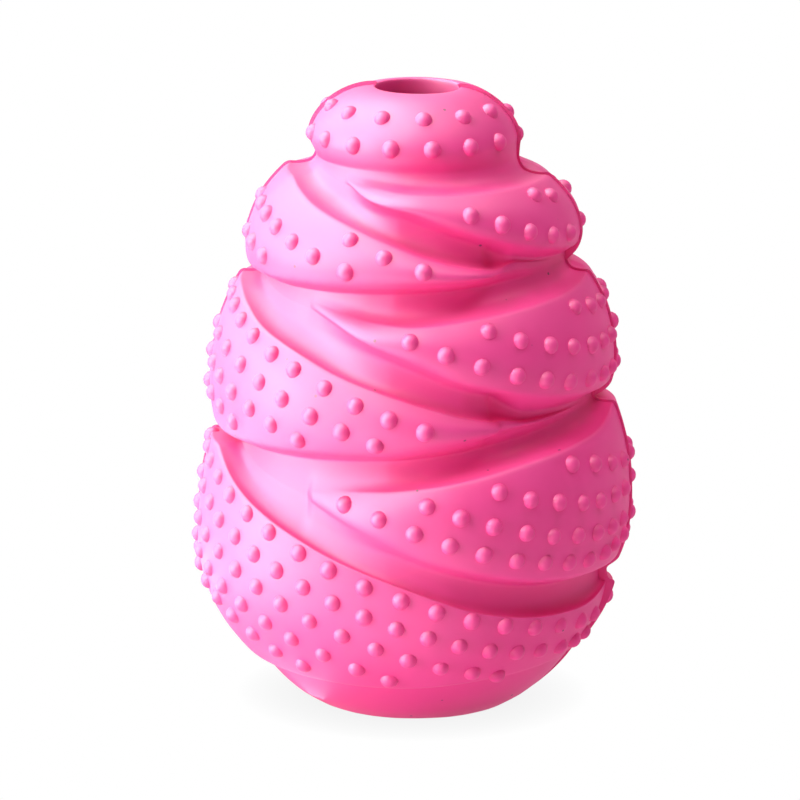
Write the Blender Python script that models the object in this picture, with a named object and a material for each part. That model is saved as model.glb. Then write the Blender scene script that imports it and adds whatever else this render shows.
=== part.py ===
"""Hollow rubber treat toy: studded ribbons wound round an egg, moulded as two half shells.

Lengths are in millimetres and turn to metres as the points are made.  Angles run round the vertical
axis in degrees: 0 is +X (right), 180 is -X (left), 270 is -Y (front).  The halves meet at y = 0.
A guide line is a list of (angle, share), where share is the height within its tier, from 0 at the
tier's foot to 1 at its head.
"""
import math
from collections import namedtuple

import bmesh
import bpy
import numpy as np

MM = 0.001

# Heights of the stacked stages, from the flat base up to the rim
FOOT_HEIGHT = 7.0
TIER_4_HEIGHT = 33.2
TIER_3_HEIGHT = 22.0
TIER_2_HEIGHT = 15.4
CAP_HEIGHT = 9.4
TIER_4_FOOT = FOOT_HEIGHT
TIER_3_FOOT = TIER_4_FOOT + TIER_4_HEIGHT
TIER_2_FOOT = TIER_3_FOOT + TIER_3_HEIGHT
CAP_FOOT = TIER_2_FOOT + TIER_2_HEIGHT
TOP = CAP_FOOT + CAP_HEIGHT

# The egg that the ribbons lie on
BELLY_RADIUS = 30.5
BELLY_HEIGHT = 25.5
UPPER_POWER = 1.88
UPPER_ROUND = 0.393
LOWER_DEPTH = 30.6
LOWER_POWER = 2.43
LOWER_ROUND = 0.773

# Cap, foot and openings
CAP_RADIUS = 14.8
CAP_ROUND = 1.7
CAP_CROWN_RISE = 2.6
CAP_LIP_RISE = 1.5
CAP_LIP_TUCK = 0.1
NECK_INSET = 0.9
TOP_HOLE_RADIUS = 5.8
RIM_WIDTH = 1.0
RIM_CORNER = 0.5
THROAT_LENGTH = 5.0
BASE_CORNER = 1.5
BASE_ROUNDING = 2.5
BASE_RING = 2.0
FOOT_STEP = 2.0
FOOT_TUCK = 0.25
MOUTH_DEPTH = 5.5

# Walls and seam
GROOVE_WALL = 4.5
BELLY_WALL = 9.0
SEAM_GAP = 0.3

# Ribbons
CREST_INSET = 1.4
LIP_INSET = 1.7
LIP_CURL = 2.5
FACE_CROWN = 0.45
LAST_FACE_HEIGHT = 40.0
LIP_DROP = 1.3
END_LIP_DROP = 2.0
REAR_SAG = 1.4
GROOVE_2_DEPTH = 4.5
GROOVE_3_DEPTH = 4.9
VALLEY_DEPTH = 1.2
VALLEY_LEAST = 0.1
VALLEY_DROP = 1.2
START_BLEND = 26.0
TAIL_BLEND = 50.0
TAIL_THINNING = 1.0
TAIL_THINNING_FROM = 280.0
TURN_END = (40.0, 120.0)

# Shares of a groove's width and height: two points of its concave slope as (drop, out), and its underside
HOLLOW = ((0.55, 0.12), (0.92, 0.4))
UNDERSIDE_IN = 0.3
UNDERSIDE_DOWN = 0.45
VALLEY_SHARE = 0.4
SPENT_LIP = 0.35
SPENT_CREST = 0.7

# Studs
STUD_RADIUS = 1.45
STUD_TOP = 0.75
STUD_HEIGHT = 1.05
STUD_SINK = 0.5
STUD_SIDES = 5
STUD_PITCH = 5.2
SEAM_MARGIN = 0.3
ROW_SAMPLES = 40

# Fineness of the mesh
FRONT_STEPS = 26
REAR_STEPS = 20
FACE_ROWS = 3
TALL_FACE_ROWS = 5
CAP_ROWS = 4
FOOT_ROWS = 3
MOUTH_ROWS = 4
CHAMBER_ROWS = 7

Tier = namedtuple(
    "Tier", "foot height start rows upper_crest upper_lip lower_crest end lower_lip turn_lip turn_crest",
    defaults=(None, None, None, None))
Groove = namedtuple("Groove", "level radius tilt")
Row = namedtuple("Row", "tier guide rise")
CapRow = namedtuple("CapRow", "rise rear_drop count first")


def egg(z):
    """Outer radius of the ribbons' fullest part at a height."""
    if z >= BELLY_HEIGHT:
        t = (z - BELLY_HEIGHT) / (TOP - BELLY_HEIGHT)
        return BELLY_RADIUS * max(1.0 - t ** UPPER_POWER, 0.0) ** UPPER_ROUND
    t = (BELLY_HEIGHT - z) / LOWER_DEPTH
    return BELLY_RADIUS * max(1.0 - t ** LOWER_POWER, 0.0) ** LOWER_ROUND


NECK_RADIUS = CAP_RADIUS - NECK_INSET
BASE_RADIUS = egg(BASE_CORNER) - BASE_ROUNDING
MOUTH_RADIUS = BASE_RADIUS - BASE_RING
GROOVE_1 = Groove(CAP_FOOT, NECK_RADIUS, ((0, 0.0), (360, 0.0)))
GROOVE_2 = Groove(
    TIER_2_FOOT, egg(TIER_2_FOOT) - GROOVE_2_DEPTH,
    ((0, 1.3), (90, 0.3), (180, -1.2), (270, -0.1), (360, 1.3)))
GROOVE_3 = Groove(
    TIER_3_FOOT, egg(TIER_3_FOOT) - GROOVE_3_DEPTH,
    ((0, 3.9), (90, 1.2), (180, -2.0), (270, -0.4), (305, 1.2), (360, 3.9)))
TIER_2 = Tier(
    TIER_2_FOOT, TIER_2_HEIGHT, start=236, end=318, rows=FACE_ROWS,
    upper_crest=((236, 0.88), (267, 0.80), (300, 0.78), (345, 0.835), (360, 0.844)),
    upper_lip=((240, 0.81), (254, 0.766), (279, 0.63), (300, 0.494), (323, 0.338), (360, 0.215)),
    lower_crest=(
        (180, 0.87), (204, 0.85), (222, 0.78), (251, 0.585), (275, 0.383), (295, 0.195), (320, 0.08)))
TIER_3 = Tier(
    TIER_3_FOOT, TIER_3_HEIGHT, start=238, end=312, rows=FACE_ROWS,
    upper_crest=(
        (236, 0.923), (256, 0.859), (275, 0.827), (293, 0.845), (313, 0.895), (345, 0.935), (360, 0.977)),
    upper_lip=(
        (240, 0.87), (251, 0.791), (271, 0.668), (288, 0.555), (305, 0.445), (326, 0.341), (360, 0.264)),
    lower_crest=(
        (180, 0.90), (199, 0.859), (224, 0.705), (247, 0.586), (271, 0.382), (292, 0.277), (310, 0.18)))
TIER_4 = Tier(
    TIER_4_FOOT, TIER_4_HEIGHT, start=238, rows=TALL_FACE_ROWS,
    upper_crest=(
        (236, 0.85), (243, 0.84), (255, 0.849), (272, 0.877), (296, 0.928), (325, 0.99), (345, 1.03),
        (360, 1.09)),
    upper_lip=(
        (240, 0.83), (252, 0.756), (268, 0.648), (283, 0.575), (308, 0.491), (335, 0.437), (360, 0.416)),
    lower_crest=(
        (180, 0.913), (200, 0.934), (208, 0.935), (223, 0.846), (242, 0.729), (268, 0.566), (292, 0.422),
        (310, 0.334), (330, 0.285), (360, 0.313)),
    lower_lip=((0, 0.066), (90, 0.02), (180, 0.036), (224, 0.012), (270, 0.0), (305, 0.03), (360, 0.066)),
    turn_lip=((0, 0.416), (50, 0.33), (110, 0.15), (180, 0.06)),
    turn_crest=((0, 0.313), (50, 0.235), (110, 0.10), (180, 0.048)))

# Rows of studs: rise over the upper ribbon's lip, under the lower ribbon's crest, or share of the tier
STUD_ROWS = (
    Row(TIER_2, "upper_lip", ((299, 3.2), (323, 2.4), (360, 2.2))),
    Row(TIER_2, "upper_lip", ((332, 7.5), (360, 6.9))),
    Row(TIER_2, "lower_crest", ((254, -1.1), (281, -1.3))),
    Row(TIER_2, "lower_crest", ((184, -4.7), (207, -4.8), (254, -5.6))),
    Row(TIER_2, "lower_crest", ((190, -9.0), (216, -9.3))),
    Row(TIER_3, "upper_lip", ((276, 2.8), (308, 1.9), (327, 1.8), (360, 2.6))),
    Row(TIER_3, "upper_lip", ((300, 7.5), (321, 6.8), (360, 6.8))),
    Row(TIER_3, "upper_lip", ((336, 12.3), (360, 11.8))),
    Row(TIER_3, "lower_crest", ((188, -1.9), (205, -0.9), (222, -1.0), (252, -2.2), (281, -2.7))),
    Row(TIER_3, "lower_crest", ((183, -6.6), (206, -6.4), (228, -6.1), (248, -7.0), (267, -6.7))),
    Row(TIER_3, "lower_crest", ((184, -11.0), (205, -10.9), (220, -10.4), (245, -11.1))),
    Row(TIER_3, "lower_crest", ((186, -15.6), (200, -14.6), (218, -14.0))),
    Row(TIER_4, "upper_lip", ((259, 4.3), (296, 3.1), (323, 2.4), (339, 2.9), (360, 3.4))),
    Row(TIER_4, "upper_lip", ((281, 8.5), (299, 7.3), (318, 6.3), (360, 6.9))),
    Row(TIER_4, "upper_lip", ((301, 12.3), (320, 11.1), (360, 10.8))),
    Row(TIER_4, "upper_lip", ((325, 16.5), (360, 15.2))),
    Row(TIER_4, "lower_crest", (
        (186, -3.4), (213, -3.2), (265, -3.2), (304, -2.0), (339, -1.4), (356, -2.0))),
    Row(TIER_4, "lower_crest", (
        (183, -7.6), (207, -8.3), (248, -7.9), (273, -7.6), (301, -6.5), (335, -4.9), (352, -5.4))),
    Row(TIER_4, "lower_crest", ((186, -12.2), (204, -13.1), (240, -12.7), (267, -12.3), (307, -10.3))),
    Row(TIER_4, "lower_crest", ((183, -16.8), (206, -18.0), (270, -17.2))),
    Row(TIER_4, "lower_crest", ((186, -21.4), (207, -22.4), (240, -22.8))),
    Row(TIER_2, "share", ((5, 0.65), (176, 0.57))),
    Row(TIER_2, "share", ((3, 0.36), (173, 0.27))),
    Row(TIER_3, "share", ((5, 0.82), (90, 0.78), (176, 0.82))),
    Row(TIER_3, "share", ((3, 0.60), (173, 0.60))),
    Row(TIER_3, "share", ((5, 0.38), (176, 0.39))),
    Row(TIER_3, "share", ((90, 0.21), (173, 0.18))),
    Row(TIER_4, "share", ((5, 0.86), (176, 0.81))),
    Row(TIER_4, "share", ((3, 0.73), (173, 0.68))),
    Row(TIER_4, "share", ((5, 0.60), (176, 0.54))),
    Row(TIER_4, "share", ((3, 0.50), (173, 0.41))),
    Row(TIER_4, "share", ((75, 0.34), (176, 0.27))),
    Row(TIER_4, "share", ((118, 0.20), (173, 0.13))),
    Row(TIER_4, "share", ((5, 0.23), (45, 0.17))),
    Row(TIER_4, "share", ((3, 0.12), (80, 0.06))),
)
# The cap's rows: height over its foot, how much lower at the rear, studs in the row, first angle
CAP_STUD_ROWS = (
    CapRow(7.0, 1.3, 13, 15.0),
    CapRow(3.2, 0.3, 16, 4.0),
)


def clear_scene():
    for thing in list(bpy.data.objects):
        bpy.data.objects.remove(thing, do_unlink=True)


def smooth(t):
    """Ease from 0 to 1 with level ends."""
    t = min(max(t, 0.0), 1.0)
    return t * t * (3.0 - 2.0 * t)


def mix(a, b, t):
    return a + (b - a) * t


def through(stations, x):
    """Height of a smooth line through the stations that never overshoots them."""
    xs = [s[0] for s in stations]
    ys = [s[1] for s in stations]
    if x <= xs[0]:
        return ys[0]
    if x >= xs[-1]:
        return ys[-1]
    slopes = [(b - a) / (d - c) for a, b, c, d in zip(ys, ys[1:], xs, xs[1:])]
    inner = [2 * a * b / (a + b) if a * b > 0 else 0.0 for a, b in zip(slopes, slopes[1:])]
    ends = [slopes[0]] + inner + [slopes[-1]]
    k = next(i for i in range(len(xs) - 1) if x <= xs[i + 1])
    h = xs[k + 1] - xs[k]
    t = (x - xs[k]) / h
    rise = ys[k + 1] - ys[k]
    a = ends[k] * h
    b = ends[k + 1] * h
    return ys[k] + t * (a + t * (3 * rise - 2 * a - b + t * (a + b - 2 * rise)))


def rearward(angle):
    """0 on the front half and at the seam, rising to 1 at the middle of the rear."""
    return max(math.sin(math.radians(angle)), 0.0)


def groove_height(groove, angle):
    return groove.level + through(groove.tilt, angle)


def line_height(tier, line, angle):
    return tier.foot + tier.height * through(line, angle)


def face_radius(z, crest, lip):
    """Radius of a ribbon's studded face, pillowed between its crest and its lip."""
    t = min(max((crest - z) / max(crest - lip, 0.01), 0.0), 1.0)
    if t < FACE_CROWN:
        return egg(z) - CREST_INSET * (1.0 - t / FACE_CROWN) ** 2
    return egg(z) - LIP_INSET * ((t - FACE_CROWN) / (1.0 - FACE_CROWN)) ** LIP_CURL


def face_points(crest, lip, rows, radius):
    """Points down a face from its crest to its lip."""
    heights = [mix(crest, lip, i / rows) for i in range(rows + 1)]
    return [(radius(z), z) for z in heights]


def hollow(high, low):
    """Two points of the concave slope that drops from a groove and runs out to the next crest."""
    return [(mix(high[0], low[0], out), mix(high[1], low[1], drop)) for drop, out in HOLLOW]


def cap_points():
    """Outline of the cap, from the rim round the top hole down to its lip."""
    crown = CAP_FOOT + CAP_CROWN_RISE
    lip = CAP_FOOT + CAP_LIP_RISE
    points = [(TOP_HOLE_RADIUS + RIM_CORNER, TOP)]
    for i in range(CAP_ROWS + 1):
        t = math.sin(0.5 * math.pi * (1.0 - i / CAP_ROWS))
        swell = max(1.0 - t ** CAP_ROUND, 0.0) ** (1.0 / CAP_ROUND)
        points.append((mix(TOP_HOLE_RADIUS + RIM_WIDTH, CAP_RADIUS, swell), mix(crown, TOP, t)))
    points.append((CAP_RADIUS - CAP_LIP_TUCK, lip))
    return points


def pinched(tier, line, groove, angle):
    """How far down from the upper groove to the lower crest a line lies, as a share."""
    top = groove_height(groove, angle)
    return (top - line_height(tier, line, angle)) / (top - line_height(tier, tier.lower_crest, angle))


def upper_line(tier, line, groove, angle):
    """Height of the upper ribbon's crest or lip, held between groove and lower crest left of its start."""
    if angle >= tier.start:
        return line_height(tier, line, angle)
    top = groove_height(groove, angle)
    return mix(top, line_height(tier, tier.lower_crest, angle), pinched(tier, line, groove, tier.start))


def front_tier(tier, groove, next_groove, angle):
    """Outline of a tier at the front, where the ribbon's start lies over the ribbon's end."""
    top = (groove.radius, groove_height(groove, angle))
    bottom = groove_height(next_groove, angle) if next_groove else 0.0
    crest = upper_line(tier, tier.upper_crest, groove, angle)
    lip = upper_line(tier, tier.upper_lip, groove, angle)
    grown = smooth((angle - tier.start) / START_BLEND)
    left = 1.0
    if tier.end:
        left -= min(max(1.0 - (tier.end - angle) / TAIL_BLEND, 0.0), 1.0) ** 2
    if tier.lower_lip:
        floor = 0.0
        low_lip = line_height(tier, tier.lower_lip, angle)
        low_crest = line_height(tier, tier.lower_crest, angle)
    else:
        floor = next_groove.radius
        valley = lip - VALLEY_DROP
        low_lip = bottom + LIP_DROP
        low_crest = line_height(tier, tier.lower_crest, min(angle, tier.end))
        if angle > tier.end:
            room = valley - bottom
            low_lip = bottom + SPENT_LIP * room
            low_crest = bottom + SPENT_CREST * room
    thinning = 0.0
    if tier.lower_lip:
        thinning = TAIL_THINNING * smooth((angle - TAIL_THINNING_FROM) / (360.0 - TAIL_THINNING_FROM))

    def low_face(z):
        full = face_radius(z, low_crest, low_lip if floor else low_crest - LAST_FACE_HEIGHT)
        return mix(floor, full, left) - thinning

    low_top = (low_face(low_crest), low_crest)

    def slope(z):
        t = (top[1] - z) / (top[1] - low_crest)
        return mix(top[0], low_top[0], t)

    def high_face(z):
        return mix(slope(z), face_radius(z, crest, lip), grown)

    high = face_points(crest, lip, FACE_ROWS, high_face)
    drop = min(VALLEY_DROP, VALLEY_SHARE * (lip - low_crest))
    depth = VALLEY_DEPTH * (left if tier.end else 1.0)
    valley = (mix(slope(lip - drop), min(high[-1][0], low_top[0]) - depth, grown), lip - drop)
    points = [top] + hollow(top, high[0]) + high
    points += [valley] + hollow(valley, low_top)[1:]
    points += face_points(low_crest, low_lip, tier.rows, low_face)
    return points


def rear_tier(tier, groove, next_groove, angle):
    """Outline of a tier at the rear, where the ribbon runs on at its full height."""
    top = (groove.radius, groove_height(groove, angle))
    turn = smooth(angle / 180.0)
    crest = mix(line_height(tier, tier.upper_crest, 360), line_height(tier, tier.lower_crest, 180), turn)
    crest -= REAR_SAG * rearward(angle)
    if next_groove:
        lip = groove_height(next_groove, angle) + mix(END_LIP_DROP, LIP_DROP, turn)
    else:
        lip = line_height(tier, tier.turn_lip, angle)
    face = face_points(crest, lip, tier.rows, lambda z: face_radius(z, crest, lip))
    points = [top] + hollow(top, face[0]) + face
    if next_groove:
        return points
    low_crest = line_height(tier, tier.turn_crest, angle)
    low_lip = line_height(tier, tier.lower_lip, angle)
    fade = 1.0 - smooth((angle - TURN_END[0]) / (TURN_END[1] - TURN_END[0]))
    inset = mix(FOOT_STEP, CREST_INSET, fade)
    low = face_points(low_crest, low_lip, FACE_ROWS, lambda z: egg(z) - inset)
    drop = min(VALLEY_DROP, VALLEY_SHARE * (lip - low_crest))
    valley = (min(face[-1][0], low[0][0]) - VALLEY_DEPTH * fade - VALLEY_LEAST, lip - drop)
    return points + [valley] + hollow(valley, low[0])[1:] + low


def underside(lip, groove):
    """Point on the curled underside between a lip and the groove below it."""
    return (mix(lip[0], groove[0], UNDERSIDE_IN), mix(lip[1], groove[1], UNDERSIDE_DOWN))


def foot_points(edge):
    """Outline of the smooth foot, from the ribbons' lower edge down to the flat base."""
    points = []
    for i in range(FOOT_ROWS):
        z = mix(edge[1] - FOOT_TUCK, BASE_CORNER, i / (FOOT_ROWS - 1))
        points.append((egg(z) - FOOT_STEP * (1.0 - i / (FOOT_ROWS - 1)), z))
    return points + [(BASE_RADIUS, 0.0)]


def outer_points(angle, front):
    """Outline of the toy at an angle, as (radius, height) from the top hole's rim down to the base."""
    tier_of = front_tier if front else rear_tier
    points = cap_points()
    points.append(underside(points[-1], (NECK_RADIUS, CAP_FOOT)))
    stack = ((TIER_2, GROOVE_1, GROOVE_2), (TIER_3, GROOVE_2, GROOVE_3), (TIER_4, GROOVE_3, None))
    for tier, groove, next_groove in stack:
        points += tier_of(tier, groove, next_groove, angle)
        if next_groove:
            below = (next_groove.radius, groove_height(next_groove, angle))
            points.append(underside(points[-1], below))
    return points + foot_points(points[-1])


def inner_points():
    """Outline of the hollow, from the base's mouth up through the chamber to the top hole."""
    chamber_radius = BELLY_RADIUS - BELLY_WALL
    throat = TOP - THROAT_LENGTH
    stations = (
        (BELLY_HEIGHT, chamber_radius),
        (TIER_3_FOOT, GROOVE_3.radius - GROOVE_WALL),
        (TIER_2_FOOT, GROOVE_2.radius - GROOVE_WALL),
        (CAP_FOOT, NECK_RADIUS - GROOVE_WALL),
        (throat, TOP_HOLE_RADIUS))
    points = [(MOUTH_RADIUS, 0.0)]
    for i in range(MOUTH_ROWS):
        t = 0.5 * math.pi * i / MOUTH_ROWS
        z = mix(BELLY_HEIGHT, MOUTH_DEPTH, math.cos(t))
        points.append((mix(MOUTH_RADIUS, chamber_radius, math.sin(t)), z))
    for i in range(CHAMBER_ROWS + 1):
        z = mix(BELLY_HEIGHT, throat, i / CHAMBER_ROWS)
        points.append((through(stations, z), z))
    return points + [(TOP_HOLE_RADIUS, TOP - RIM_CORNER)]


def surface_point(angle, z):
    """Point of the outer surface at an angle and height, in millimetres."""
    outline = outer_points(angle, angle > 180.0)
    heights = [p[1] for p in reversed(outline)]
    radii = [p[0] for p in reversed(outline)]
    r = float(np.interp(z, heights, radii))
    a = math.radians(angle)
    return np.array((r * math.cos(a), r * math.sin(a), z))


def surface_normal(angle, z):
    """Outward direction of the surface, averaged over about the width of a stud."""
    across = surface_point(angle + 1.0, z) - surface_point(angle - 1.0, z)
    upward = surface_point(angle, z + STUD_RADIUS / 2) - surface_point(angle, z - STUD_RADIUS / 2)
    normal = np.cross(across, upward)
    return normal / np.linalg.norm(normal)


def row_heights(row, angle):
    rise = through(row.rise, angle)
    if row.guide == "share":
        return row.tier.foot + row.tier.height * rise
    return line_height(row.tier, getattr(row.tier, row.guide), angle) + rise


def row_places(row):
    """Angles and heights of a row's studs, one stud pitch apart along the row."""
    first = row.rise[0][0]
    last = row.rise[-1][0]
    angles = np.linspace(first, last, ROW_SAMPLES)
    path = [surface_point(a, row_heights(row, a)) for a in angles]
    steps = [np.linalg.norm(b - a) for a, b in zip(path, path[1:])]
    along = np.concatenate(([0.0], np.cumsum(steps)))
    count = max(int(round(along[-1] / STUD_PITCH)), 1)
    places = np.interp(np.linspace(0.0, along[-1], count + 1), along, angles)
    return [(a, row_heights(row, a)) for a in places]


def stud_places():
    places = []
    for row in STUD_ROWS:
        places += row_places(row)
    for row in CAP_STUD_ROWS:
        for i in range(row.count):
            angle = row.first + 360.0 * i / row.count
            places.append((angle, CAP_FOOT + row.rise - row.rear_drop * rearward(angle)))
    return places


def ring(bm, centre, across, upward, normal, radius, lift):
    verts = []
    for i in range(STUD_SIDES):
        a = 2.0 * math.pi * i / STUD_SIDES
        p = centre + radius * (math.cos(a) * across + math.sin(a) * upward) + lift * normal
        verts.append(bm.verts.new([c * MM for c in p]))
    return verts


def add_stud(bm, angle, z):
    """One closed low dome, sunk a little into the wall."""
    centre = surface_point(angle, z)
    normal = surface_normal(angle, z)
    a = math.radians(angle)
    across = np.array((-math.sin(a), math.cos(a), 0.0))
    upward = np.cross(normal, across)
    base = ring(bm, centre, across, upward, normal, STUD_RADIUS, -STUD_SINK)
    top = ring(bm, centre, across, upward, normal, STUD_TOP, STUD_HEIGHT)
    bm.faces.new(list(reversed(base)))
    bm.faces.new(top)
    for i in range(STUD_SIDES):
        j = (i + 1) % STUD_SIDES
        bm.faces.new((base[i], base[j], top[j], top[i]))


def keeps_clear_of_seam(angle, z, front):
    """True where a stud lies whole on its own half."""
    y = surface_point(angle, z)[1]
    limit = STUD_RADIUS + SEAM_GAP / 2 + SEAM_MARGIN
    return y < -limit if front else y > limit


def make_object(name, bm):
    mesh = bpy.data.meshes.new(name)
    bm.to_mesh(mesh)
    bm.free()
    thing = bpy.data.objects.new(name, mesh)
    bpy.context.scene.collection.objects.link(thing)
    return thing


def shell_mesh(angles, side):
    """Half shell: closed outline loops set side by side round the axis, with flat seam faces."""
    bm = bmesh.new()
    loops = []
    for angle in angles:
        a = math.radians(angle)
        loop = []
        for r, z in outer_points(angle, side < 0) + inner_points():
            y = side * max(side * r * math.sin(a), SEAM_GAP / 2)
            loop.append(bm.verts.new((r * math.cos(a) * MM, y * MM, z * MM)))
        loops.append(loop)
    for near, far in zip(loops, loops[1:]):
        for i in range(len(near)):
            j = (i + 1) % len(near)
            bm.faces.new((near[i], near[j], far[j], far[i]))
    bm.faces.new(loops[0])
    bm.faces.new(loops[-1])
    bmesh.ops.recalc_face_normals(bm, faces=bm.faces)
    return bm


def stud_mesh(front):
    bm = bmesh.new()
    for angle, z in stud_places():
        turned = angle % 360.0
        if (turned > 180.0) == front and keeps_clear_of_seam(turned, z, front):
            add_stud(bm, turned, z)
    return bm


def half_shell(name, angles, side):
    shell = make_object(name, shell_mesh(angles, side))
    studs = make_object(name + "_studs", stud_mesh(side < 0))
    studs.hide_render = True
    studs.display_type = "WIRE"
    union = shell.modifiers.new("studs", "BOOLEAN")
    union.operation = "UNION"
    union.solver = "EXACT"
    union.object = studs
    return shell


def rubber(name):
    """Satin pink natural rubber."""
    material = bpy.data.materials.new(name)
    material.use_nodes = True
    shader = material.node_tree.nodes["Principled BSDF"]
    shader.inputs["Base Color"].default_value = (0.87, 0.10, 0.32, 1.0)
    shader.inputs["Roughness"].default_value = 0.5
    shader.inputs["Metallic"].default_value = 0.0
    return material


def main():
    clear_scene()
    front_angles = [180.0 + 180.0 * i / FRONT_STEPS for i in range(FRONT_STEPS + 1)]
    rear_angles = [180.0 * i / REAR_STEPS for i in range(REAR_STEPS + 1)]
    front = half_shell("front_shell", front_angles, -1.0)
    rear = half_shell("rear_shell", rear_angles, 1.0)
    front.data.materials.append(rubber("front_rubber"))
    rear.data.materials.append(rubber("rear_rubber"))


main()
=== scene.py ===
"""Hollow rubber treat toy: a front and a rear half shell, moulded with studded ribbons wound round an egg.

The halves come in the order in which they are joined, then the floor, the lamps and the camera.
Lengths are in millimetres until the points of a mesh are made.  Angles run round the vertical axis in
degrees: 0 is right, 90 rear, 180 left and 270 front.  The halves meet at y = 0.
"""
import math
import random
from collections import namedtuple

import bpy
import numpy as np
from mathutils import Matrix, Vector
from mathutils.bvhtree import BVHTree


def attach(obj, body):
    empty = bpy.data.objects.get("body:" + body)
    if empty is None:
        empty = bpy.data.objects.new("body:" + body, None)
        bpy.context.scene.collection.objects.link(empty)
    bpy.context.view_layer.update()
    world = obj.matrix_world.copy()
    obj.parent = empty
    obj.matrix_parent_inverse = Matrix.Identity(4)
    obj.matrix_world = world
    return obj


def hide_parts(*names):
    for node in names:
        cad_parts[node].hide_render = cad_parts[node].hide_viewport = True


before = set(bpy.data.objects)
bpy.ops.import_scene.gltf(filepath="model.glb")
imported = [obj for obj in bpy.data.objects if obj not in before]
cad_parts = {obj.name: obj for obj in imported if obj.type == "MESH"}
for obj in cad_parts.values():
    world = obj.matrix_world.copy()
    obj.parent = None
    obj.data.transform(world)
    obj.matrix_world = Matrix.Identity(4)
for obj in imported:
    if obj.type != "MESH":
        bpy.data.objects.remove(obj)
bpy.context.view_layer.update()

# Front half shell
# One of the two pressed halves of the toy: natural rubber, 4.5 to 9 mm thick, cured in a mould that gives it
# the cap, the wound ribbons, the studs and the foot in one piece.  It carries the front of every ribbon.
MM = 0.001
FOOT_HEIGHT = 7.0
TIER_4_HEIGHT = 33.2
TIER_3_HEIGHT = 22.0
TIER_2_HEIGHT = 15.4
CAP_HEIGHT = 9.4
TIER_4_FOOT = FOOT_HEIGHT
TIER_3_FOOT = TIER_4_FOOT + TIER_4_HEIGHT
TIER_2_FOOT = TIER_3_FOOT + TIER_3_HEIGHT
CAP_FOOT = TIER_2_FOOT + TIER_2_HEIGHT
TOP = CAP_FOOT + CAP_HEIGHT
BELLY_RADIUS = 30.5
BELLY_HEIGHT = 25.5
UPPER_POWER = 1.88
UPPER_ROUND = 0.393
LOWER_DEPTH = 30.6
LOWER_POWER = 2.43
LOWER_ROUND = 0.773
CAP_RADIUS = 14.8
CAP_ROUND = 1.7
CAP_FLAT = 0.8
CAP_CROWN_RISE = 2.6
CAP_LIP_RISE = 1.9
CAP_LIP_TUCK = 0.1
NECK_INSET = 0.9
TOP_HOLE_RADIUS = 5.8
RIM_WIDTH = 0.5
RIM_CORNER = 0.2
THROAT_LENGTH = 5.0
BASE_CORNER = 1.5
BASE_ROUNDING = 2.5
BASE_RING = 2.0
FOOT_STEP = 2.0
FOOT_TUCK = 0.25
MOUTH_DEPTH = 5.5
GROOVE_WALL = 4.5
BELLY_WALL = 9.0
CREST_INSET = 1.4
LIP_INSET = 1.7
LIP_CURL = 2.5
FACE_CROWN = 0.45
LAST_FACE_HEIGHT = 40.0
LIP_DROP = 1.55
GROOVE_2_DEPTH = 4.5
GROOVE_3_DEPTH = 4.9
GROOVE_DEEPENS = 1.3
VALLEY_DEPTH = 1.2
VALLEY_DEEPENS = 1.5
VALLEY_DROP = 1.2
STEP_ANGLE = 4.0
LIP_ANGLE = 34.0
CREST_ANGLE = 48.0
TAIL_TURN_ANGLE = 14.0
TAIL_RIDGE_ANGLE = 350.0
TAIL_THINNING = 1.0
TAIL_THINNING_ANGLE = 280.0
UNDERSIDE_IN = 0.3
UNDERSIDE_DOWN = 0.45
VALLEY_SHARE = 0.4
SPENT_SHARE = 0.3
PLAIN_VALLEY_SHARE = 0.3
STUD_SEAM_CLEARANCE = 1.9

# How a corner of the outline is rounded: length trimmed off both its sides, which is half of a shorter
# side, and points on the curve
Bend = namedtuple("Bend", "trim steps")
EVEN = Bend(99.0, 2)
HOLLOW_BEND = Bend(99.0, 3)
CREST = Bend(1.1, 6)
LIP = Bend(0.9, 6)
GROOVE_BEND = Bend(0.7, 4)
VALLEY_BEND = Bend(0.8, 4)
CORNER = Bend(0.6, 4)

# The concave slope that drops from a groove and runs out level to the next crest: (drop, out) shares
HOLLOW = ((0.25, 0.03), (0.55, 0.10), (0.82, 0.24), (0.97, 0.48), (1.03, 0.75))
SLOPE_STEPS = (0.0, 0.15, 0.35, 0.55, 0.7, 0.86, 1.0)
SLOPE_DROPS = (0.0,) + tuple(drop for drop, _ in HOLLOW) + (1.0,)
SLOPE_OUTS = (0.0,) + tuple(out for _, out in HOLLOW) + (1.0,)

# Rows of the mesh down each stage
CAP_ROWS = 12
FACE_ROWS = 9
TALL_FACE_ROWS = 22
FOOT_ROWS = 8
MOUTH_ROWS = 8
CHAMBER_ROWS = 14

# How a left ribbon ends: the angle, the degrees over which it has worn thin before, what is left of its
# thickness there, the degrees in which it drops, what is left beyond, how its edge bulges and slants, and
# where its crest and lip then lie, as shares of the room over the groove
Tail = namedtuple("Tail", "end thins left drops beyond bulge slant crest lip")
Tier = namedtuple(
    "Tier",
    "foot height start step rows sag upper_crest upper_lip lower_crest tail lower_lip turn_lip turn_crest",
    defaults=(None, None, None, None))
Groove = namedtuple("Groove", "level radius tilt")
CapRow = namedtuple("CapRow", "rise rear_drop count first")


def egg(z):
    """Radius of the egg that the ribbons lie on, at a height."""
    if z >= BELLY_HEIGHT:
        t = (z - BELLY_HEIGHT) / (TOP - BELLY_HEIGHT)
        return BELLY_RADIUS * max(1.0 - t ** UPPER_POWER, 0.0) ** UPPER_ROUND
    t = (BELLY_HEIGHT - z) / LOWER_DEPTH
    return BELLY_RADIUS * max(1.0 - t ** LOWER_POWER, 0.0) ** LOWER_ROUND


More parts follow.
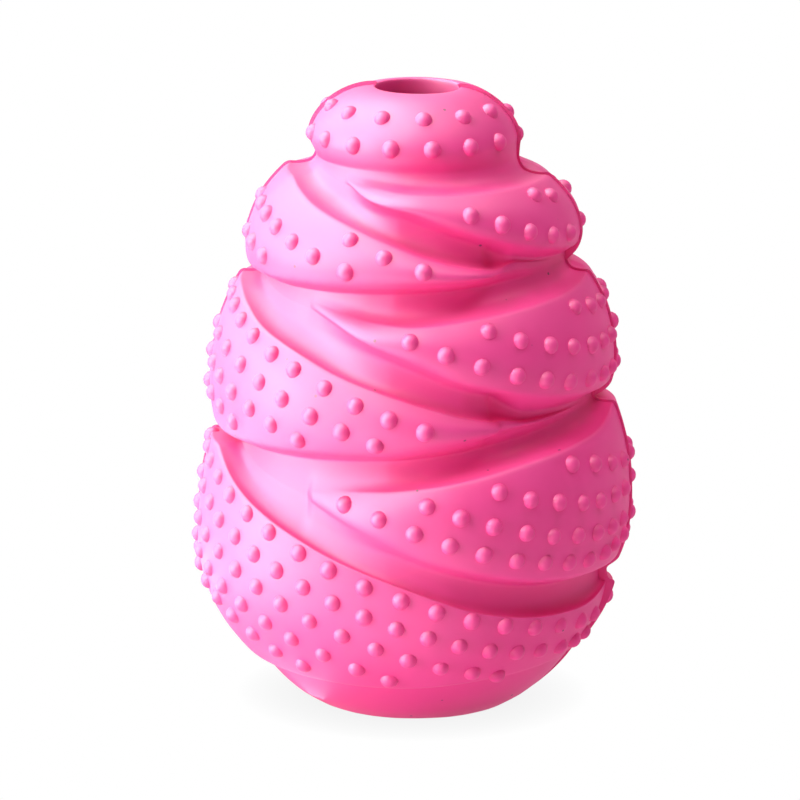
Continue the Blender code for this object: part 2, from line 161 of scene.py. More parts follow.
NECK_RADIUS = CAP_RADIUS - NECK_INSET
BASE_RADIUS = egg(BASE_CORNER) - BASE_ROUNDING
MOUTH_RADIUS = BASE_RADIUS - BASE_RING
GROOVE_1 = Groove(CAP_FOOT, NECK_RADIUS, ((0, 0.0), (360, 0.0)))
GROOVE_2 = Groove(
    TIER_2_FOOT, egg(TIER_2_FOOT) - GROOVE_2_DEPTH,
    ((0, 1.3), (90, 0.3), (180, -1.2), (270, -0.1), (360, 1.3)))
GROOVE_3 = Groove(
    TIER_3_FOOT, egg(TIER_3_FOOT) - GROOVE_3_DEPTH,
    ((0, 3.9), (90, 1.2), (180, -2.0), (270, -0.4), (305, 1.2), (360, 3.9)))
TIER_2 = Tier(
    TIER_2_FOOT, TIER_2_HEIGHT, start=234, step=0.06, rows=FACE_ROWS, sag=4.0,
    upper_crest=((236, 0.90), (252, 0.876), (271, 0.859), (300, 0.845), (330, 0.847), (360, 0.844)),
    upper_lip=(
        (240, 0.85), (255, 0.775), (267, 0.727), (277, 0.676), (287, 0.596), (301, 0.494), (319, 0.373),
        (341, 0.265), (360, 0.215)),
    lower_crest=(
        (180, 0.87), (204, 0.862), (217, 0.794), (233, 0.689), (251, 0.577), (272, 0.41), (282, 0.327),
        (299, 0.221), (320, 0.13)),
    tail=Tail(end=308, thins=36, left=0.55, drops=18, beyond=0.16, bulge=0, slant=-4, crest=0.7, lip=0.3))
TIER_3 = Tier(
    TIER_3_FOOT, TIER_3_HEIGHT, start=234, step=0.06, rows=FACE_ROWS + 3, sag=1.4,
    upper_crest=(
        (236, 0.90), (250, 0.868), (262, 0.84), (275, 0.832), (296, 0.866), (320, 0.91), (345, 0.945),
        (360, 0.977)),
    upper_lip=(
        (236, 0.85), (250, 0.79), (265, 0.687), (282, 0.56), (291, 0.487), (301, 0.431), (313, 0.371),
        (335, 0.305), (360, 0.264)),
    lower_crest=(
        (180, 0.90), (194, 0.885), (208, 0.815), (221, 0.727), (240, 0.618), (257, 0.497), (270, 0.416),
        (282, 0.338), (290, 0.283), (303, 0.213)),
    tail=Tail(end=303.5, thins=40, left=0.5, drops=2.6, beyond=0.3, bulge=1.6, slant=4, crest=0.45, lip=0.3))
TIER_4 = Tier(
    TIER_4_FOOT, TIER_4_HEIGHT, start=242, step=0.18, rows=TALL_FACE_ROWS, sag=1.4,
    upper_crest=(
        (236, 0.84), (248, 0.845), (268, 0.871), (276, 0.888), (294, 0.93), (309, 0.97), (325, 1.0),
        (345, 1.035), (360, 1.09)),
    upper_lip=(
        (240, 0.815), (254, 0.738), (270, 0.655), (281, 0.59), (300, 0.51), (314, 0.468), (328, 0.445),
        (342, 0.435), (360, 0.416)),
    lower_crest=(
        (180, 0.913), (203, 0.925), (209, 0.885), (214, 0.84), (222, 0.783), (231, 0.728), (245, 0.648),
        (260, 0.561), (272, 0.498), (283, 0.435), (294, 0.373), (304, 0.335), (319, 0.301), (340, 0.285),
        (360, 0.313)),
    lower_lip=((0, 0.066), (90, 0.02), (180, 0.036), (224, 0.012), (270, 0.0), (305, 0.03), (360, 0.066)),
    turn_lip=((0, 0.416), (50, 0.33), (110, 0.15), (180, 0.06)),
    turn_crest=((0, 0.313), (50, 0.235), (110, 0.10), (180, 0.048)))

# Studs of the front ribbons, row by row from the top and the right: (angle, height)
FRONT_STUD_ROWS = (
    ((333.0, 74.1), (343.9, 73.4)),
    ((298.6, 72.9), (310.6, 71.3), (322.6, 69.8), (334.3, 68.7), (346.5, 68.2)),
    ((254.0, 69.5), (267.1, 67.6), (280.4, 65.9)),
    ((187.5, 71.6), (198.5, 71.2), (209.3, 70.5), (219.6, 69.5), (230.9, 68.2), (241.6, 66.9), (254.2, 65.3)),
    ((194.0, 67.0), (204.9, 66.3), (215.5, 65.2)),
    ((336.6, 58.9), (346.1, 58.3), (355.0, 58.1)),
    ((300.4, 57.8), (310.3, 56.2), (320.6, 55.0), (329.9, 54.1), (339.5, 53.5), (347.7, 53.3), (356.0, 53.3)),
    ((276.3, 56.8), (286.7, 55.0), (297.2, 53.2), (308.3, 51.5), (318.4, 50.3), (328.3, 49.3), (338.5, 48.8),
     (347.3, 48.7), (355.5, 48.8)),
    ((184.8, 58.5), (193.5, 58.0), (202.3, 57.2), (211.1, 56.0), (220.6, 54.7), (231.1, 53.1), (240.6, 51.7),
     (251.6, 49.9), (261.4, 48.0), (270.9, 46.4), (280.7, 44.7)),
    ((187.5, 53.4), (197.9, 52.8), (208.5, 51.9), (219.3, 50.7), (229.2, 49.2), (238.6, 47.7), (248.4, 46.0),
     (257.8, 44.3), (267.1, 42.6)),
    ((189.0, 49.6), (198.4, 48.8), (207.6, 47.9), (216.9, 46.7), (226.2, 45.3), (234.9, 43.8), (244.0, 42.3)),
    ((190.5, 45.4), (200.0, 44.7), (209.0, 43.8), (216.8, 42.4)),
    ((325.9, 38.2), (335.4, 37.4), (344.4, 36.5), (353.4, 35.9)),
    ((301.1, 36.1), (310.0, 34.6), (319.1, 33.6), (328.0, 32.7), (335.7, 32.2), (343.9, 32.1), (352.2, 32.0)),
    ((281.3, 34.6), (290.1, 33.0), (299.0, 31.5), (308.4, 30.1), (317.0, 29.0), (326.0, 28.3), (334.5, 27.8),
     (342.6, 27.7), (350.9, 27.8)),
    ((257.4, 33.8), (268.4, 32.5), (278.0, 30.8), (287.3, 29.1), (296.5, 27.6), (306.1, 26.2), (315.1, 25.3),
     (324.0, 24.5), (332.7, 24.0), (341.0, 24.1), (346.9, 24.6), (354.5, 25.0)),
    ((184.8, 36.9), (193.0, 36.2), (201.5, 35.2), (209.6, 33.8), (217.4, 32.2), (226.2, 30.5), (235.3, 28.8),
     (245.5, 26.7), (254.6, 24.9), (264.6, 22.9), (274.6, 21.2), (284.3, 19.5), (294.4, 18.0), (304.8, 16.6),
     (315.6, 15.5), (327.1, 14.7), (339.2, 14.1), (351.0, 13.7)),
    ((190.3, 32.2), (198.5, 31.2), (206.7, 29.9), (213.8, 28.3), (222.3, 26.9), (230.5, 25.3), (238.8, 23.8),
     (247.4, 22.1), (256.0, 20.4), (264.6, 18.7), (273.3, 17.1), (282.1, 15.7), (291.2, 14.2), (301.0, 13.0),
     (310.8, 12.1), (321.0, 11.5), (332.1, 10.9), (341.2, 10.9), (350.5, 11.0)),
    ((188.6, 27.7), (197.3, 26.5), (206.0, 25.2), (214.7, 23.9), (223.5, 22.4), (231.8, 20.8), (240.1, 19.1),
     (248.9, 17.3), (258.1, 15.6), (267.4, 13.9), (276.5, 12.2), (286.3, 10.8), (296.9, 9.6), (306.8, 8.4)),
    ((191.0, 23.3), (199.3, 22.0), (207.7, 20.6), (216.0, 19.1), (224.7, 17.5), (233.3, 15.7), (241.7, 14.0),
     (251.1, 12.2), (260.7, 10.3), (270.4, 8.6)),
    ((185.0, 20.6), (193.5, 19.4), (202.0, 18.0), (209.8, 16.6), (217.4, 14.9), (225.1, 13.0), (232.6, 11.1),
     (241.7, 9.6)),
)

# Rows of studs of the cap: height over its foot, how much lower they lie at the rear, how many, and the
# angle of the first; none lies nearer to the seam than the least angle
CAP_STUD_ROWS = (CapRow(7.0, 2.2, 13, 5.3), CapRow(3.2, 0.9, 16, 16.2))
CAP_STUD_LEAST = 9.0


def smooth(t):
    """Ease from 0 to 1 with level ends."""
    t = min(max(t, 0.0), 1.0)
    return t * t * (3.0 - 2.0 * t)


def mix(a, b, t):
    return a + (b - a) * t


def through(stations, x):
    """Height of a smooth line through the stations that never overshoots them."""
    xs = [s[0] for s in stations]
    ys = [s[1] for s in stations]
    if x <= xs[0]:
        return ys[0]
    if x >= xs[-1]:
        return ys[-1]
    slopes = [(b - a) / (d - c) for a, b, c, d in zip(ys, ys[1:], xs, xs[1:])]
    inner = [2 * a * b / (a + b) if a * b > 0 else 0.0 for a, b in zip(slopes, slopes[1:])]
    ends = [slopes[0]] + inner + [slopes[-1]]
    k = next(i for i in range(len(xs) - 1) if x <= xs[i + 1])
    h = xs[k + 1] - xs[k]
    t = (x - xs[k]) / h
    rise = ys[k + 1] - ys[k]
    a = ends[k] * h
    b = ends[k + 1] * h
    return ys[k] + t * (a + t * (3 * rise - 2 * a - b + t * (a + b - 2 * rise)))


def rearward(angle):
    """0 on the front half and at the seam, rising to 1 at the middle of the rear."""
    return max(math.sin(math.radians(angle)), 0.0)


def groove_height(groove, angle):
    return groove.level + through(groove.tilt, angle)


def groove_radius(groove, angle):
    """Radius at the bottom of a groove, which is cut deeper at the right of the front."""
    if groove.radius == NECK_RADIUS:
        return groove.radius
    turn = math.radians(2.0 * (max(angle, 180.0) - 270.0))
    return groove.radius - GROOVE_DEEPENS * max(math.sin(turn), 0.0)


def line_height(tier, line, angle):
    return tier.foot + tier.height * through(line, angle)


def face_radius(z, crest, lip):
    """Radius of a ribbon's studded face, pillowed between its crest and its lip."""
    t = min(max((crest - z) / max(crest - lip, 0.01), 0.0), 1.0)
    if t < FACE_CROWN:
        return egg(z) - CREST_INSET * (1.0 - t / FACE_CROWN) ** 2
    return egg(z) - LIP_INSET * ((t - FACE_CROWN) / (1.0 - FACE_CROWN)) ** LIP_CURL


def face_points(crest, lip, rows, radius):
    """Corners down a face from its crest to its lip."""
    heights = [mix(crest, lip, i / rows) for i in range(rows + 1)]
    bends = [CREST] + [EVEN] * (rows - 1) + [LIP]
    return [(radius(z), z, bend) for z, bend in zip(heights, bends)]


def hollow(high, low):
    """Corners of the concave slope that drops from a groove and runs out to the next crest."""
    return [(mix(high[0], low[0], out), mix(high[1], low[1], drop), HOLLOW_BEND) for drop, out in HOLLOW]


def cap_points(angle):
    """Outline of the cap, from the top hole's rim down to its lip; it is a little flat at the right."""
    radius = CAP_RADIUS - CAP_FLAT * max(math.cos(math.radians(angle)), 0.0) ** 2
    crown = CAP_FOOT + CAP_CROWN_RISE
    lip = CAP_FOOT + CAP_LIP_RISE
    points = [(TOP_HOLE_RADIUS + RIM_CORNER, TOP, CORNER)]
    for i in range(CAP_ROWS + 1):
        t = math.sin(0.5 * math.pi * (1.0 - i / CAP_ROWS))
        swell = max(1.0 - t ** CAP_ROUND, 0.0) ** (1.0 / CAP_ROUND)
        bend = CORNER if i == 0 else EVEN
        points.append((mix(TOP_HOLE_RADIUS + RIM_WIDTH, radius, swell), mix(crown, TOP, t), bend))
    points.append((radius - CAP_LIP_TUCK, lip, LIP))
    return points


def left_of(tail, angle, t):
    """What is left of a left ribbon's thickness at an angle and a share of the way down its face."""
    if not tail:
        return 1.0
    end = tail.end + tail.bulge * (1.0 - (2.0 * t - 1.0) ** 2) - tail.slant * t ** 3
    worn = mix(1.0, tail.left, min(max(1.0 - (end - angle) / tail.thins, 0.0), 1.0) ** 2)
    beyond = tail.beyond * (1.0 - smooth((angle - end) / (TAIL_RIDGE_ANGLE - end)))
    return mix(worn, beyond, smooth((angle - end) / tail.drops + 0.5))


def wound_band(tier, top, low_top, angle, spent, floor):
    """Corners of the ribbon that starts here, from the hollow above it to the hollow below it."""
    crest = line_height(tier, tier.upper_crest, angle)
    lip = line_height(tier, tier.upper_lip, angle)
    high = face_points(crest, lip, FACE_ROWS, lambda z: face_radius(z, crest, lip))
    drop = min(VALLEY_DROP, VALLEY_SHARE * (lip - low_top[1]))
    depth = VALLEY_DEPTH + VALLEY_DEEPENS * max(math.sin(math.radians(2.0 * (angle - 270.0))), 0.0)
    inner = mix(min(high[-1][0], low_top[0]) - depth, floor, spent)
    valley = (inner, mix(lip - drop, mix(low_top[1], lip, SPENT_SHARE), spent), VALLEY_BEND)
    return hollow(top, high[0]) + high + [valley] + hollow(valley, low_top)[1:]


def plain_slope(tier, top, low_top, groove, angle):
    """The same corners where no ribbon stands out yet, all on one concave slope."""
    head = groove_height(groove, angle)
    fall = head - line_height(tier, tier.lower_crest, angle)
    lines = (line_height(tier, line, angle) for line in (tier.upper_crest, tier.upper_lip))
    crest, lip = (np.interp((head - z) / fall, SLOPE_DROPS, SLOPE_STEPS) for z in lines)
    last = len(HOLLOW) + FACE_ROWS + 2
    corners = (0, len(HOLLOW) + 1, last - 1, last, last + len(HOLLOW))
    steps = (0, crest, lip, mix(lip, 1.0, PLAIN_VALLEY_SHARE), 1.0)
    points = []
    for i in range(1, last + len(HOLLOW)):
        step = np.interp(i, corners, steps)
        out = through(tuple(zip(SLOPE_STEPS, SLOPE_OUTS)), step)
        drop = through(tuple(zip(SLOPE_STEPS, SLOPE_DROPS)), step)
        points.append((mix(top[0], low_top[0], out), mix(top[1], low_top[1], drop)))
    return points


def emerging(tier, top, low_top, groove, angle, spent, floor):
    """The ribbon's corners near its start, where its lip stands out of the slope before its crest does."""
    past = angle - tier.start
    at_once = tier.step * smooth(past / STEP_ANGLE)
    by_crest = mix(smooth(past / CREST_ANGLE), 1.0, at_once)
    by_lip = mix(smooth(past / LIP_ANGLE), 1.0, at_once)
    wound = wound_band(tier, top, low_top, max(angle, tier.start), spent, floor)
    if by_crest >= 1.0:
        return wound
    plain = plain_slope(tier, top, low_top, groove, max(angle, tier.start))
    points = []
    for i, (p, w) in enumerate(zip(plain, wound)):
        t = mix(by_crest, by_lip, min(max((i - len(HOLLOW)) / FACE_ROWS, 0.0), 1.0))
        points.append((mix(p[0], w[0], t), mix(p[1], w[1], t), w[2]))
    return points


def front_tier(tier, groove, next_groove, angle):
    """Outline of a tier at the front, where the ribbon's start lies over the ribbon's end."""
    top = (groove_radius(groove, angle), groove_height(groove, angle), GROOVE_BEND)
    low_crest = line_height(tier, tier.lower_crest, angle)
    if next_groove:
        floor = groove_radius(next_groove, angle)
        bottom = groove_height(next_groove, angle)
        low_lip = bottom + LIP_DROP
        spent = smooth((angle - tier.tail.end) / TAIL_TURN_ANGLE)
        room = line_height(tier, tier.upper_lip, angle) - VALLEY_DROP - bottom
        low_lip = mix(low_lip, bottom + tier.tail.lip * room, spent)
        low_crest = mix(low_crest, bottom + tier.tail.crest * room, spent)
        face_lip = low_lip
        thinning = 0.0
    else:
        floor = 0.0
        spent = 0.0
        low_lip = line_height(tier, tier.lower_lip, angle)
        face_lip = low_crest - LAST_FACE_HEIGHT
        thinning = TAIL_THINNING * smooth((angle - TAIL_THINNING_ANGLE) / (360.0 - TAIL_THINNING_ANGLE))

    def low_face(z):
        t = (low_crest - z) / (low_crest - low_lip)
        return mix(floor, face_radius(z, low_crest, face_lip), left_of(tier.tail, angle, t)) - thinning

    low_top = (low_face(low_crest), low_crest)
    band = emerging(tier, top, low_top, groove, angle, spent, floor)
    return [top] + band + face_points(low_crest, low_lip, tier.rows, low_face)


def underside(lip, groove):
    """Corner on the curled underside between a lip and the groove below it."""
    return (mix(lip[0], groove[0], UNDERSIDE_IN), mix(lip[1], groove[1], UNDERSIDE_DOWN), EVEN)


def foot_points(edge):
    """Outline of the smooth foot, from the ribbons' lower edge down to the flat base."""
    points = []
    for i in range(FOOT_ROWS):
        t = i / (FOOT_ROWS - 1)
        z = mix(edge[1] - FOOT_TUCK, BASE_CORNER, t)
        points.append((egg(z) - FOOT_STEP * (1.0 - t), z, EVEN if i else VALLEY_BEND))
    return points + [(BASE_RADIUS, 0.0, CORNER)]


def outer_points(angle, tier_of):
    """Corners of the toy's outline at an angle, from the top hole's rim down to the base."""
    points = cap_points(angle)
    points.append(underside(points[-1], (NECK_RADIUS, CAP_FOOT)))
    stack = ((TIER_2, GROOVE_1, GROOVE_2), (TIER_3, GROOVE_2, GROOVE_3), (TIER_4, GROOVE_3, None))
    for tier, groove, next_groove in stack:
        points += tier_of(tier, groove, next_groove, angle)
        if next_groove:
            below = (groove_radius(next_groove, angle), groove_height(next_groove, angle))
            points.append(underside(points[-1], below))
    return points + foot_points(points[-1])


def inner_points():
    """Corners of the hollow, from the mouth in the base up through the chamber to the top hole."""
    chamber_radius = BELLY_RADIUS - BELLY_WALL
    throat = TOP - THROAT_LENGTH
    stations = (
        (BELLY_HEIGHT, chamber_radius),
        (TIER_3_FOOT, GROOVE_3.radius - GROOVE_WALL),
        (TIER_2_FOOT, GROOVE_2.radius - GROOVE_WALL),
        (CAP_FOOT, NECK_RADIUS - GROOVE_WALL),
        (throat, TOP_HOLE_RADIUS))
    points = [(MOUTH_RADIUS, 0.0, CORNER)]
    for i in range(MOUTH_ROWS):
        t = 0.5 * math.pi * i / MOUTH_ROWS
        z = mix(BELLY_HEIGHT, MOUTH_DEPTH, math.cos(t))
        points.append((mix(MOUTH_RADIUS, chamber_radius, math.sin(t)), z, EVEN if i else CREST))
    for i in range(CHAMBER_ROWS + 1):
        z = mix(BELLY_HEIGHT, throat, i / CHAMBER_ROWS)
        points.append((through(stations, z), z, EVEN))
    return points + [(TOP_HOLE_RADIUS, TOP - RIM_CORNER, CORNER)]


def rounded(corners):
    """Rows of a closed outline, each corner turned into a short curve between its trimmed sides."""
    spots = np.array([c[:2] for c in corners])
    rows = []
    for i, corner in enumerate(corners):
        here = spots[i]
        back = spots[i - 1] - here
        on = spots[(i + 1) % len(corners)] - here
        bend = corner[2]
        a = here + back * min(bend.trim / max(np.linalg.norm(back), 1e-6), 0.5)
        b = here + on * min(bend.trim / max(np.linalg.norm(on), 1e-6), 0.5)
        for k in range(bend.steps):
            t = (k + 0.5) / bend.steps
            spot = (1.0 - t) ** 2 * a + 2.0 * t * (1.0 - t) * here + t * t * b
            rows.append((spot[0], spot[1]))
    return rows


# Columns of the mesh round half the toy, with the turns of those beside the seam
COLUMNS = 172
EDGE_TURNS = (0.0, 0.3, 0.7, 1.2, 1.9, 2.8)

# Half of the gap at the seam, how far round the flash spreads, and how much more of it the cap has
SEAM_HALF = 0.02
FLASH_SPREAD = 2.6
CAP_FLASH = 1.6


def half_angles(first, last):
    """Angles of a half's columns: even, and closer beside the seam."""
    count = COLUMNS - 2 * len(EDGE_TURNS)
    least = EDGE_TURNS[-1] + 1.0
    middle = [mix(least, 179.0 - EDGE_TURNS[-1], i / (count - 1)) for i in range(count)]
    turns = list(EDGE_TURNS) + middle + [180.0 - turn for turn in reversed(EDGE_TURNS)]
    return [first + (last - first) * t / 180.0 for t in turns]


def deselect():
    for thing in list(bpy.context.selected_objects):
        thing.select_set(False)


def pick(thing):
    deselect()
    thing.select_set(True)
    bpy.context.view_layer.objects.active = thing


def with_flash(outline, outer, angle, flash):
    """An outline whose outer rows stand out by the flash, close to the seam alone."""
    path = np.array(outline)
    way = np.roll(path, -1, axis=0) - np.roll(path, 1, axis=0)
    out = np.stack((-way[:, 1], way[:, 0]), axis=1) / np.linalg.norm(way, axis=1)[:, None]
    lift = flash * smooth(1.0 - min(angle % 180.0, -angle % 180.0) / FLASH_SPREAD)
    share = np.interp(path[:outer, 1], (CAP_FOOT, CAP_FOOT + CAP_CROWN_RISE), (1.0, CAP_FLASH))
    path[:outer] += lift * share[:, None] * out[:outer]
    path[:, 1] = np.maximum(path[:, 1], 0.0)
    return path


def wound_sheet(name, angles, side, tier_of, flash):
    """A flat grid wound into a half shell: its columns stand at the angles, its rows follow the outline."""
    outer = sum(bend.steps for _, _, bend in outer_points(angles[0], tier_of))
    outlines = [rounded(outer_points(a, tier_of) + inner_points()) for a in angles]
    outlines = [with_flash(o, outer, a, flash) for o, a in zip(outlines, angles)]
    rows = len(outlines[0])
    deselect()
    bpy.ops.mesh.primitive_grid_add(x_subdivisions=rows, y_subdivisions=len(angles) - 1, size=1.0)
    sheet = bpy.context.active_object
    sheet.name = name
    sheet.data.name = name
    spots = []
    for angle, outline in zip(angles, outlines):
        a = math.radians(angle)
        for i in range(rows + 1):
            r, z = outline[i % rows]
            y = side * max(side * r * math.sin(a), SEAM_HALF)
            spots.append((r * math.cos(a) * MM, y * MM, z * MM))
    sheet.data.vertices.foreach_set("co", np.array(spots).ravel())
    sheet.data.update()
    return sheet, rows


def select_vertices(thing, indices):
    chosen = np.zeros(len(thing.data.vertices), dtype=bool)
    chosen[indices] = True
    bpy.ops.object.mode_set(mode="OBJECT")
    thing.data.vertices.foreach_set("select", chosen)


def close_sheet(sheet, rows, columns):
    """Joins the sheet's first and last rows and caps its two ends on the seam."""
    pick(sheet)
    bpy.ops.object.mode_set(mode="EDIT")
    bpy.ops.mesh.select_mode(type="VERT")
    bpy.ops.mesh.select_all(action="DESELECT")
    width = rows + 1
    ends = [c * width for c in range(columns)] + [c * width + rows for c in range(columns)]
    select_vertices(sheet, ends)
    bpy.ops.object.mode_set(mode="EDIT")
    bpy.ops.mesh.remove_doubles(threshold=1e-7)
    bpy.ops.mesh.select_all(action="DESELECT")
    bpy.ops.mesh.select_mode(type="EDGE")
    bpy.ops.mesh.select_non_manifold()
    bpy.ops.mesh.edge_face_add()
    bpy.ops.mesh.select_all(action="SELECT")
    bpy.ops.mesh.normals_make_consistent(inside=False)
    bpy.ops.object.mode_set(mode="OBJECT")


def outline_at(angle, z, tier_of):
    """Point of the outer surface at an angle and height, in millimetres."""
    outline = [c[:2] for c in outer_points(angle, tier_of)]
    heights = [p[1] for p in reversed(outline)]
    radii = [p[0] for p in reversed(outline)]
    r = float(np.interp(z, heights, radii))
    a = math.radians(angle)
    return np.array((r * math.cos(a), r * math.sin(a), z))


def cap_places(first, last):
    """Angles and heights of the cap's studs between two angles."""
    places = []
    for row in CAP_STUD_ROWS:
        for i in range(row.count):
            angle = max(row.first + 360.0 * i / row.count, CAP_STUD_LEAST)
            if first < angle <= last:
                drop = row.rear_drop * smooth(3.0 * rearward(angle))
                places.append((angle, CAP_FOOT + row.rise - drop))
    return places


# A stud is a ball let into the face; its axis is the mean of the normals within a reach of its foot
STUD_SPHERE = 1.28
STUD_SINK = 0.38
STUD_NORMAL_REACH = 1.3
STUD_WIDTHS = (0.96, 1.04)
STUD_TALLS = (0.96, 1.03)


def add_studs(shell, tier_of, places, seed):
    """Domed studs, modelled once and copied to their places, then fused into the shell."""
    mesh = shell.data
    tree = BVHTree.FromPolygons([v.co[:] for v in mesh.vertices], [p.vertices[:] for p in mesh.polygons])
    deselect()
    bpy.ops.mesh.primitive_uv_sphere_add(segments=14, ring_count=9, radius=STUD_SPHERE * MM)
    pattern = bpy.context.active_object
    draw = random.Random(seed)
    copies = []
    for angle, z in places:
        spot = outline_at(angle, z, tier_of)
        if abs(spot[1]) < STUD_SEAM_CLEARANCE:
            continue
        near = tree.find_nearest_range(Vector(spot * MM), STUD_NORMAL_REACH * MM)
        at, normal, _, _ = tree.find_nearest(Vector(spot * MM))
        if near:
            total = Vector()
            for _, n, _, _ in near:
                total += n
            normal = total.normalized()
        size = draw.uniform(*STUD_WIDTHS)
        turn = normal.to_track_quat("Z", "Y").to_matrix().to_4x4()
        spin = Matrix.Rotation(draw.uniform(0.0, 6.28), 4, "Z")
        tall = draw.uniform(*STUD_TALLS)
        place = Matrix.Translation(at - normal * STUD_SINK * MM) @ turn @ spin
        place = place @ Matrix.Diagonal((size, size, size * tall, 1.0))
        copy = pattern.copy()
        copy.data = pattern.data.copy()
        copy.data.transform(place)
        bpy.context.scene.collection.objects.link(copy)
        copies.append(copy)
    bpy.data.objects.remove(pattern, do_unlink=True)
    deselect()
    for copy in copies:
        copy.select_set(True)
    bpy.context.view_layer.objects.active = copies[0]
    bpy.ops.object.join()
    studs = bpy.context.active_object
    pick(shell)
    union = shell.modifiers.new("studs", "BOOLEAN")
    union.operation = "UNION"
    union.solver = "MANIFOLD"
    union.object = studs
    bpy.ops.object.modifier_apply(modifier=union.name)
    bpy.data.objects.remove(studs, do_unlink=True)


# Waves in the skin, and the sharpest edge, in degrees, that is shaded smooth
WAVE_LENGTH = 7.0
WAVE_DEPTH = 0.12
SMOOTH_BELOW = 42.0


def uneven(shell, name):
    """Slight waviness that the mould and the cure leave in the skin."""
    waves = bpy.data.textures.new(name, "CLOUDS")
    waves.noise_scale = WAVE_LENGTH * MM
    waves.noise_depth = 2
    pick(shell)
    lift = shell.modifiers.new("waves", "DISPLACE")
    lift.texture = waves
    lift.texture_coords = "LOCAL"
    lift.mid_level = 0.5
    lift.strength = WAVE_DEPTH * MM
    bpy.ops.object.modifier_apply(modifier=lift.name)


def linear(code):
    """Linear RGBA of an sRGB hex colour."""
    parts = [int(code[i:i + 2], 16) / 255.0 for i in (0, 2, 4)]
    return tuple(c / 12.92 if c <= 0.04045 else ((c + 0.055) / 1.055) ** 2.4 for c in parts) + (1.0,)


def add(tree, kind, settings=(), links=()):
    """Adds a node: settings by property or socket name, links as (socket, node, output)."""
    node = tree.nodes.new(kind)
    for key, value in dict(settings).items():
        if isinstance(key, str) and hasattr(node, key):
            setattr(node, key, value)
        else:
            node.inputs[key].default_value = value
    for socket, source, output in links:
        tree.links.new(source.outputs[output], node.inputs[socket])
    return node


# Sizes of the pattern in the rubber's skin: patches of bloom, specks of dust and their spacing, and the
# moulded grain, which is a little coarser than the real one so that it shows
BLOOM_PATCH = 9.0
SPECK_SPACING = 5.0
SPECK_EDGES = (0.03, 0.05)
GRAIN = 0.35
GRAIN_DEPTH = 0.02


def moulded_rubber(name):
    """Natural rubber, moulded: satin, evenly coloured through, with a faint bloom and specks of dust."""
    material = bpy.data.materials.new(name)
    material.use_nodes = True
    tree = material.node_tree
    tree.nodes.clear()
    place = add(tree, "ShaderNodeTexCoord")
    bloom = add(tree, "ShaderNodeTexNoise",
                {"Scale": 1 / (BLOOM_PATCH * MM), "Detail": 3.0, "Roughness": 0.5},
                [("Vector", place, "Object")])
    tint = add(tree, "ShaderNodeMix", {"data_type": "RGBA", 6: linear("EF2E8A"), 7: linear("F23C93")},
               [(0, bloom, "Fac")])
    dust = add(tree, "ShaderNodeTexVoronoi", {"Scale": 1 / (SPECK_SPACING * MM)},
               [("Vector", place, "Object")])
    speck = add(tree, "ShaderNodeMapRange", {"From Min": SPECK_EDGES[0], "From Max": SPECK_EDGES[1]},
                [("Value", dust, "Distance")])
    skin = add(tree, "ShaderNodeMix", {"data_type": "RGBA", 6: linear("7E2450")},
               [(0, speck, "Result"), (7, tint, 2)])
    grain = add(tree, "ShaderNodeTexNoise", {"Scale": 1 / (GRAIN * MM), "Detail": 2.0},
                [("Vector", place, "Object")])
    bump = add(tree, "ShaderNodeBump", {"Strength": 0.12, "Distance": GRAIN_DEPTH * MM},
               [("Height", grain, "Fac")])
    gloss = add(tree, "ShaderNodeMapRange", {"To Min": 0.56, "To Max": 0.64}, [("Value", bloom, "Fac")])
    shader = add(tree, "ShaderNodeBsdfPrincipled", {"IOR": 1.52, "Metallic": 0.0},
                 [("Base Color", skin, 2), ("Roughness", gloss, "Result"), ("Normal", bump, "Normal")])
    add(tree, "ShaderNodeOutputMaterial", {}, [("Surface", shader, "BSDF")])
    return material


def finish_shell(shell, node, material):
    shell.data.materials.clear()
    shell.data.materials.append(material)
    pick(shell)
    bpy.ops.object.shade_smooth_by_angle(angle=math.radians(SMOOTH_BELOW))
    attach(shell, "root")
    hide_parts(node)


front_angles = half_angles(180.0, 360.0)
front, front_rows = wound_sheet("front_half", front_angles, -1.0, front_tier, 0.0)
close_sheet(front, front_rows, len(front_angles))
uneven(front, "front_waves")
front_places = [place for row in FRONT_STUD_ROWS for place in row] + cap_places(180.0, 360.0)
add_studs(front, front_tier, front_places, 11)
finish_shell(front, "front_shell", moulded_rubber("moulded_rubber_front"))

# Rear half shell
# The other pressed half, of the same rubber from the second mould: the ribbons run on round the back as
# tiers.  Where the moulds closed, its edge stands a little proud of the front half's.
END_LIP_DROP = 2.0
VALLEY_LEAST = 0.1
TURN_END = (40.0, 120.0)
SEAM_FLASH = 0.34
STUD_PITCH = 5.2
ROW_SAMPLES = 40

# How far the ledges are filled at angles, the drop shares of a full one, and the rows down each face
LEDGE_FILL = ((0, 0.0), (5, 0.9), (60, 0.9), (120, 0.5), (174, 0.5), (180, 0.0))
FULL_DROPS = (0.12, 0.2, 0.28, 0.4, 0.62)
REAR_FACE_ROWS = {TIER_2.foot: 16, TIER_3.foot: 24, TIER_4.foot: 34}

